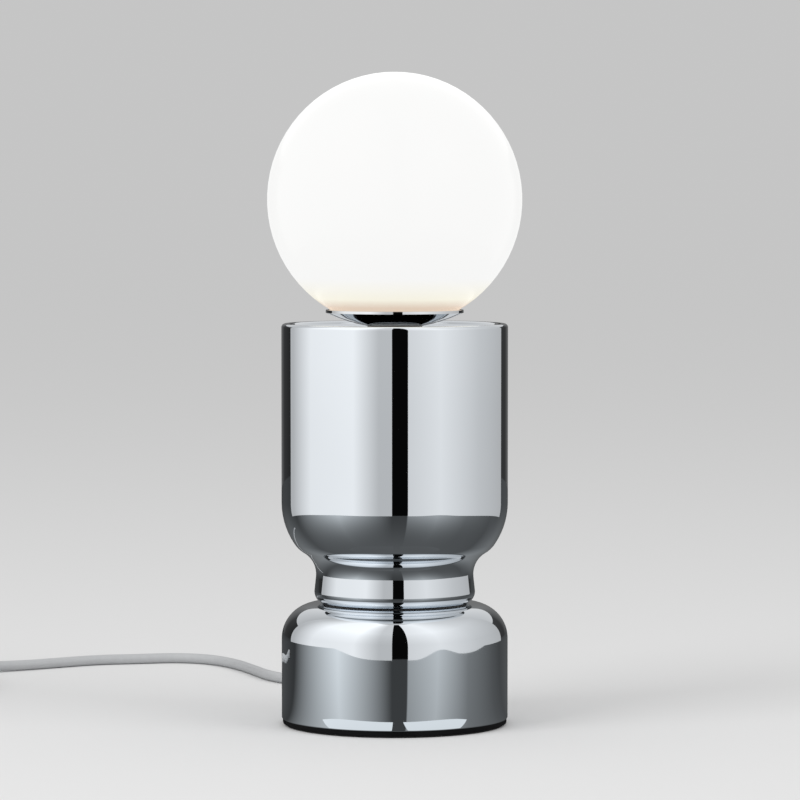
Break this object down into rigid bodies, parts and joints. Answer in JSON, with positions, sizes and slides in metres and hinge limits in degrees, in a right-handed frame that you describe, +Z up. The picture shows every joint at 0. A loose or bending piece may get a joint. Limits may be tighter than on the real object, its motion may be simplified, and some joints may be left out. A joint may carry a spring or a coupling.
{
  "type": "table lamp",
  "caption": "Table lamp with an opal glass globe in a chrome dish on a waisted silvered glass body, with a felted foot, screw bulb, cord, in-line switch and flat plug.",
  "frame": {"origin": "on the table under the lamp's axis, at the underside of the felt", "axes": "+Z up along the lamp's axis, +Y to the back where the cord comes out, +X to the right"},
  "size_m": [0.3746, 0.3101, 0.3076],
  "materials": {
    "opal_glass": "glossy opal white, lit from inside",
    "chrome": "polished",
    "silvered_glass": "glossy silvered glass",
    "black_enamel": "satin black",
    "silicone": "matte",
    "felt": "matte",
    "iron": "rough painted casting",
    "zinc_steel": "zinc plated",
    "spring_steel": "satin",
    "white_plastic": "satin white",
    "porcelain": "glazed white",
    "brass": "plain",
    "nickel": "nickel plated",
    "black_glass": "glossy",
    "aluminium": "plain",
    "opal_plastic": "opal",
    "grey_cord": "matte silver grey",
    "grey_plastic": "matte silver grey",
    "black_plastic": "satin black",
    "brown_wire": "satin",
    "blue_wire": "satin"
  },
  "bodies": {
    "lamp": {"globe_dish": "chrome", "glass_base": "silvered_glass", "glass_waist": "silvered_glass", "glass_drum": "silvered_glass", "glass_top": "silvered_glass", "foot_tray": "black_enamel", "globe_seal": "silicone", "top_gasket": "silicone", "neck_collar": "silicone", "felt_pad": "felt", "base_weight": "iron", "threaded_tube": "zinc_steel", "carrier_washer": "zinc_steel", "carrier_nut": "zinc_steel", "tray_screws": "zinc_steel", "cord_clamp": "zinc_steel", "clamp_screws": "zinc_steel", "switch_screws": "zinc_steel", "rocker_pin": "zinc_steel", "carrier_springs": "spring_steel", "globe_carrier": "white_plastic", "holder_dome": "white_plastic", "holder_skirt": "white_plastic", "holder_insert": "porcelain", "holder_contact": "brass", "holder_shell": "brass", "switch_terminals": "brass", "plug_pins": "nickel", "inner_cord": "grey_cord", "lamp_lead": "grey_cord", "switch_lead": "grey_cord", "cord_coil": "grey_cord", "plug_lead": "grey_cord", "cord_bushing": "grey_plastic", "bushing_nut": "grey_plastic", "switch_lower_case": "grey_plastic", "switch_upper_case": "grey_plastic", "plug_body": "grey_plastic", "pin_sleeves": "black_plastic", "cord_tie": "black_plastic", "live_lead": "brown_wire", "neutral_lead": "blue_wire"},
    "globe": {"opal_globe": "opal_glass", "globe_mouth": "opal_glass"},
    "bulb_tip": {"bulb_contact": "nickel"},
    "bulb": {"bulb_insulator": "black_glass", "bulb_cap": "nickel", "bulb_base": "white_plastic", "bulb_board": "aluminium", "bulb_envelope": "opal_plastic"},
    "rocker": {"switch_rocker": "black_plastic"}
  },
  "joints": [
    {"name": "globe_lift", "type": "slide", "parent": "lamp", "child": "globe", "axis": [0, 0, 1], "range_m": [0, 0.1]},
    {"name": "bulb_rise", "type": "slide", "parent": "lamp", "child": "bulb_tip", "axis": [0, 0, 1], "range_m": [0, 0.0086]},
    {"name": "bulb_turn", "type": "hinge", "parent": "bulb_tip", "child": "bulb", "pos_m": [0, 0, 0.23], "axis": [0, 0, 1], "range_deg": [0, 1080]},
    {"name": "switch_rock", "type": "hinge", "parent": "lamp", "child": "rocker", "pos_m": [-0.231, 0.128, 0.0135], "axis": [1, 0, 0], "range_deg": [0, 16]}
  ],
  "couplings": [
    {"joint": "bulb_rise", "follows": "bulb_turn", "m_per_rad": 0.000449}
  ]
}
